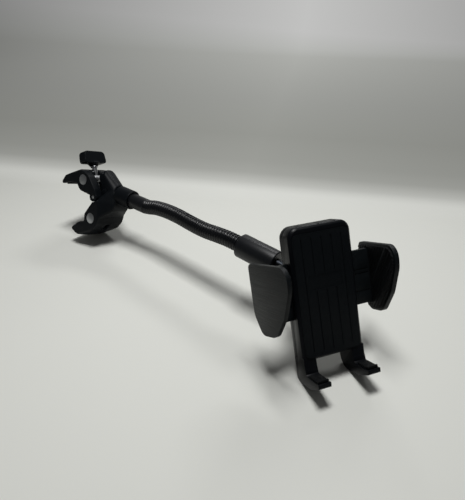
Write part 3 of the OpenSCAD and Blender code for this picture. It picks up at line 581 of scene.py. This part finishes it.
# Camera: the photograph's height and focal length in pixels, its directions and its place in metres
IMAGE_H = 500
FOCAL_PX = 466
CAMERA_AZIMUTH = math.radians(70.3)
CAMERA_PITCH = math.radians(32.3)
CAMERA_PLACE = Vector((0.39575, -0.10304, 0.2991))
BACKWARDS = (-math.sin(CAMERA_AZIMUTH), math.cos(CAMERA_AZIMUTH))
# Seamless sheet, in metres: reach before and behind the object, bend, top edge and half width
SHEET_FRONT = 1.6
SHEET_BACK = 1.35
BEND_RADIUS = 0.5
BEND_STEPS = 12
SHEET_TOP = 2.4
SHEET_HALF = 3.0
# The backdrop begins along a line that runs a little aslant behind the object
FADE_TURN = math.radians(-11.3)
FADE_DIRECTION = (-math.sin(CAMERA_AZIMUTH + FADE_TURN), math.cos(CAMERA_AZIMUTH + FADE_TURN))
# Its painted shades of light by the distance along the sheet from the object, in metres: a darker band behind the
# floor, growing lighter further back and up
BACKDROP = (
    (0.20, 0xDEDFDA), (0.24, 0xD9DAD5), (0.27, 0xBEBFBA), (0.31, 0xA3A49F), (0.36, 0x9B9C97),
    (0.50, 0x969792), (0.75, 0x9C9D99), (1.05, 0xA5A6A2), (1.36, 0xADAEAA), (1.48, 0xB7B8B5),
    (1.65, 0xC1C1C0),
)
# Lamps: name, place and size in metres, and power in watts; all look at the same point
LAMPS = (
    ("overhead", (0.04, 0.02, 0.90), (0.28, 0.20), 6.2),
    ("behind", (-0.56, 0.55, 0.82), (0.5, 0.14), 2.2),
)
LAMP_TARGET = Vector((0, 0, 0.05))
WORLD_STRENGTH = 0.08
# Share of the backdrop's glow that is lost for each metre to the side, as painted falloff of light
SIDE_FALL = 0.45


class HOLDER_OT_stage(bpy.types.Operator):
    """Builds the floor, the backdrop, the lamps and the camera"""

    bl_idname = "holder.stage"
    bl_label = "Stage"

    def execute(self, context):
        self.floor(context.scene.holder_sizes.floor_hex)
        self.lamps()
        self.camera(context.scene)
        return {"FINISHED"}

    def floor(self, number):
        """Seamless sheet: flat below the object, turned up behind it."""
        back = Vector((*BACKWARDS, 0))
        side = Vector((-back.y, back.x, 0))
        bend = [(-SHEET_FRONT, 0.0), (SHEET_BACK, 0.0)]
        for k in range(1, BEND_STEPS + 1):
            angle = math.radians(90 * k / BEND_STEPS)
            bend.append((SHEET_BACK + BEND_RADIUS * math.sin(angle), BEND_RADIUS * (1 - math.cos(angle))))
        bend.append((SHEET_BACK + BEND_RADIUS, SHEET_TOP))
        bm = bmesh.new()
        rows = [[bm.verts.new(back * d + side * w + Vector((0, 0, h))) for w in (-SHEET_HALF, SHEET_HALF)]
                for d, h in bend]
        for low, high in zip(rows, rows[1:]):
            bm.faces.new((low[0], low[1], high[1], high[0]))
        bmesh.ops.recalc_face_normals(bm, faces=bm.faces)
        sheet = new_piece("floor_sheet", bm, seamless_paper("seamless_paper", number), 60)

    def lamps(self):
        """A broad lamp overhead, a weak one behind and a weak world."""
        for name, place, size, energy in LAMPS:
            lamp = bpy.data.lights.new(name, "AREA")
            lamp.shape = "RECTANGLE"
            lamp.size, lamp.size_y = size
            lamp.energy = energy
            holder = bpy.data.objects.new(name, lamp)
            holder.location = place
            holder.rotation_euler = (LAMP_TARGET - Vector(place)).to_track_quat("-Z", "Y").to_euler()
            bpy.context.scene.collection.objects.link(holder)
        world = bpy.data.worlds.new("studio")
        world.use_nodes = True
        world.node_tree.nodes["Background"].inputs["Color"].default_value = (1.0, 1.0, 1.0, 1.0)
        world.node_tree.nodes["Background"].inputs["Strength"].default_value = WORLD_STRENGTH
        bpy.context.scene.world = world

    def camera(self, scene):
        """Camera at the photograph's angle."""
        data = bpy.data.cameras.new("camera")
        data.sensor_width = 36.0
        data.lens = FOCAL_PX * data.sensor_width / IMAGE_H
        camera = bpy.data.objects.new("camera", data)
        level = math.cos(CAMERA_PITCH)
        ahead = Vector((BACKWARDS[0] * level, BACKWARDS[1] * level, -math.sin(CAMERA_PITCH)))
        camera.rotation_euler = ahead.to_track_quat("-Z", "Y").to_euler()
        camera.location = CAMERA_PLACE
        scene.collection.objects.link(camera)
        scene.camera = camera
        scene.view_settings.view_transform = "Standard"


class HOLDER_OT_cradle(bpy.types.Operator):
    """Dresses the housing, its pad, soles, button and screws"""

    bl_idname = "holder.cradle"
    bl_label = "Cradle"

    def execute(self, context):
        finish = context.scene.holder_finish
        edge = context.scene.holder_sizes.edge
        shell = moulded_plastic("moulded_abs", finish.shell_hex, 0.35, 0.012, (0.28, 0.4))
        pad = moulded_rubber("silicone_pad", finish.pad_hex, 0.9, 1)
        grip = moulded_rubber("ribbed_sole_rubber", finish.grip_hex, 0.8, 0)
        steel = plated_steel("zinc_plated_steel", finish.steel_hex, (0.22, 0.38))
        rounded_piece("front_housing", shell, edge)
        rounded_piece("rear_cover", shell, edge)
        plain_piece("face_pad", pad)
        rounded_piece("left_hook_sole", grip, 0.35 * edge, 2)
        rounded_piece("right_hook_sole", grip, 0.35 * edge, 2)
        rounded_piece("release_button", shell, 0.5 * edge, 2)
        rounded_piece("cover_screws", steel, 0.15 * edge, 2)
        rounded_piece("gear_axle", steel, 0.25 * edge, 2)
        acetal = moulded_plastic("acetal", finish.gear_hex, 0.5, 0.004, (0.3, 0.4), 0.03)
        rounded_piece("pinion_gear", acetal, 0.15 * edge, 2)
        self.pressed_spring(steel)
        return {"FINISHED"}

    def pressed_spring(self, steel):
        """Coil spring of the button, copied from its node at its rest length."""
        spring = new_piece("button_spring_finished", merged_copy("button_spring"), steel, 60)
        settle(spring, "button_spring")
        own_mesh(spring)


class HOLDER_OT_arms(bpy.types.Operator):
    """Dresses both side arms and their liners"""

    bl_idname = "holder.arms"
    bl_label = "Side arms"

    def execute(self, context):
        finish = context.scene.holder_finish
        edge = context.scene.holder_sizes.edge
        plastic = brushed_plastic("brushed_abs", finish.arm_hex)
        # The liner's grooves are darkened with painted shade
        grip = moulded_rubber("ribbed_liner_rubber", finish.liner_hex, 2.0, 2, turn=-42.0, painted_shade_share=1.0)
        for side in ("left", "right"):
            rounded_piece(f"{side}_arm", plastic, 0.7 * edge)
            rounded_piece(f"{side}_arm_liner", grip, 0.2 * edge, 1)
        return {"FINISHED"}


class HOLDER_OT_ball_joint(bpy.types.Operator):
    """Dresses the ring nut and the ball stud"""

    bl_idname = "holder.ball_joint"
    bl_label = "Ball joint"

    def execute(self, context):
        finish = context.scene.holder_finish
        edge = context.scene.holder_sizes.edge
        nylon = moulded_plastic("fluted_nylon", finish.jaw_hex, 0.4, 0.02, (0.4, 0.55))
        rounded_piece("ring_nut", nylon, 0.5 * edge, 2)
        rounded_piece("ball_stud", plated_steel("black_oxide_steel", finish.oxide_hex, (0.3, 0.42)),
                      0.2 * edge, 2)
        return {"FINISHED"}


class HOLDER_OT_neck(bpy.types.Operator):
    """Dresses the collar, the ringed neck and the smooth sleeve"""

    bl_idname = "holder.neck"
    bl_label = "Neck"

    def execute(self, context):
        finish = context.scene.holder_finish
        edge = context.scene.holder_sizes.edge
        metal = anodised("black_anodised_aluminium", finish.collar_hex)
        steel = plated_steel("set_screw_steel", finish.collar_hex, (0.3, 0.4))
        rounded_piece("neck_collar", metal, 0.4 * edge, 3)
        rounded_piece("neck_sleeve", metal, 0.4 * edge, 3)
        rounded_piece("collar_set_screw", steel, 0.1 * edge, 1)
        rounded_piece("sleeve_set_screw", steel, 0.1 * edge, 1)
        coat = moulded_plastic("vinyl_coated_spiral", finish.neck_hex, 0.3, 0.004, (0.26, 0.36), level=0.45)
        self.flexible_neck(context.scene.holder_sizes, coat)
        return {"FINISHED"}

    def flexible_neck(self, sizes, coat):
        """Ringed tube along the neck's curved line, from the collar to the clamp's sleeve."""
        line = neck_line()
        mesh = bpy.data.meshes.new("gooseneck_finished")
        mesh.from_pydata(line, [(i, i + 1) for i in range(len(line) - 1)], [])
        piece = bpy.data.objects.new("gooseneck_finished", mesh)
        bpy.context.scene.collection.objects.link(piece)
        run_tree(piece, ringed_neck_tree(coat), Pitch=sizes.ring_pitch, Radius=NECK_RADIUS,
                 Groove=sizes.groove)
        stand_for(piece, "gooseneck")
        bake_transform(piece)


class HOLDER_OT_clamp(bpy.types.Operator):
    """Dresses the jaws, their pads, the hinge pin and the barrel nuts"""

    bl_idname = "holder.clamp"
    bl_label = "Clamp"

    def execute(self, context):
        finish = context.scene.holder_finish
        edge = context.scene.holder_sizes.edge
        nylon = moulded_plastic("glass_filled_nylon", finish.jaw_hex, 0.45, 0.03, (0.36, 0.5))
        steel = plated_steel("turned_steel", finish.steel_hex, (0.25, 0.4))
        rubber = moulded_rubber("claw_rubber", finish.grip_hex, 1.2, 1)
        softened_piece("lower_jaw", nylon, JAW_ROUNDING, shoulder_points())
        softened_piece("upper_jaw", nylon, JAW_ROUNDING)
        for node in ("hinge_pin", "upper_barrel_nut", "lower_barrel_nut"):
            rounded_piece(node, steel, 0.6 * edge, 3)
        for node in ("upper_claw_pad", "lower_claw_pad"):
            rounded_piece(node, rubber, 0.4 * edge, 2)
        return {"FINISHED"}


class HOLDER_OT_knob(bpy.types.Operator):
    """Dresses the wing knob, its washer and the screw"""

    bl_idname = "holder.knob"
    bl_label = "Knob and screw"

    def execute(self, context):
        finish = context.scene.holder_finish
        edge = context.scene.holder_sizes.edge
        steel = plated_steel("screw_steel", finish.steel_hex, (0.2, 0.34))
        nylon = moulded_plastic("knob_nylon", finish.jaw_hex, 0.4, 0.02, (0.36, 0.5))
        softened_piece("clamp_knob", nylon, KNOB_ROUNDING)
        rounded_piece("knob_washer", steel, 0.3 * edge, 2)
        self.threaded_screw(context.scene.holder_sizes.thread_pitch, steel)
        return {"FINISHED"}

    def threaded_screw(self, pitch, steel):
        """Screw with its thread, a smooth shoulder and a chamfered lower end."""
        low, start, end, high = SCREW_HEIGHTS
        core = SCREW_RADIUS - pitch / 2
        profile = (
            (0, low), (core - SCREW_CHAMFER, low), (core, low + SCREW_CHAMFER), (core, start),
            (SHOULDER_RADIUS, start), (SHOULDER_RADIUS, end), (SCREW_RADIUS, end), (SCREW_RADIUS, high),
            (0, high),
        )
        piece = new_piece("clamp_screw_finished", lathe([(r, h - low) for r, h in profile]), steel)
        run_tree(piece, thread_tree(steel), Pitch=pitch, Length=start - low, Radius=core + 0.1 * pitch,
                 Rib=0.4 * pitch)
        piece.data.transform(CLAMP @ Matrix.Translation((SCREW_X, 0, low)))
        finish_mesh(piece, steel)
        settle(piece, "clamp_screw")


class HOLDER_PT_panel(bpy.types.Panel):
    """Lists the holder's steps in the sidebar"""

    bl_idname = "HOLDER_PT_panel"
    bl_label = "Phone holder"
    bl_space_type = "VIEW_3D"
    bl_region_type = "UI"
    bl_category = "Holder"

    def draw(self, context):
        for group in (context.scene.holder_sizes, context.scene.holder_finish):
            for name in group.__annotations__:
                self.layout.prop(group, name)
        for step in STEPS:
            self.layout.operator(step.bl_idname)


STEPS = (
    HOLDER_OT_stage,
    HOLDER_OT_cradle,
    HOLDER_OT_arms,
    HOLDER_OT_ball_joint,
    HOLDER_OT_neck,
    HOLDER_OT_clamp,
    HOLDER_OT_knob,
)
CLASSES = (HolderFinish, HolderSizes, *STEPS, HOLDER_PT_panel)


def register():
    """Registers the classes and the scene's two groups of settings."""
    for item in CLASSES:
        bpy.utils.register_class(item)
    bpy.types.Scene.holder_finish = PointerProperty(type=HolderFinish)
    bpy.types.Scene.holder_sizes = PointerProperty(type=HolderSizes)


def unregister():
    """Takes the settings and the classes out again."""
    del bpy.types.Scene.holder_sizes
    del bpy.types.Scene.holder_finish
    for item in reversed(CLASSES):
        bpy.utils.unregister_class(item)


def main():
    """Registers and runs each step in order."""
    register()
    for step in STEPS:
        group, name = step.bl_idname.split(".")
        getattr(getattr(bpy.ops, group), name)()


if __name__ == "__main__":
    main()
